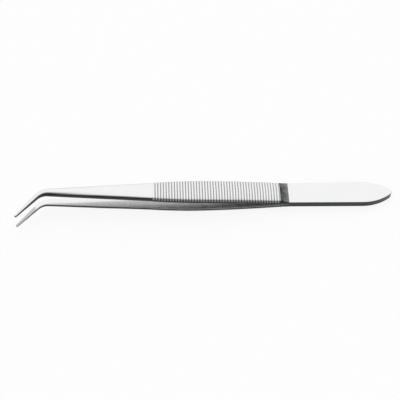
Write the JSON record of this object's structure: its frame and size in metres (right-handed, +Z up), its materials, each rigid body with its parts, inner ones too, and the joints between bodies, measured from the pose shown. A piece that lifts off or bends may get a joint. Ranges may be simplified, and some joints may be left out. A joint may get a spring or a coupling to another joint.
{
  "type": "curved tweezers",
  "caption": "Steel tweezers with ribbed bowed arms joined at a flat tail, and slender jaws bent to one side with serrated inner faces.",
  "frame": {"origin": "middle of the whole part's box in plan, on the surface that the tweezers lie on", "axes": "+X from the tips towards the tail, +Y away from the side that the jaws bend to, +Z up off the surface, from the lower arm to the upper arm"},
  "size_m": [0.1486, 0.0166, 0.0113],
  "materials": {
    "steel": "satin polished stainless steel"
  },
  "bodies": {
    "root": {"upper_arm": "steel", "lower_arm": "steel"}
  },
  "joints": []
}
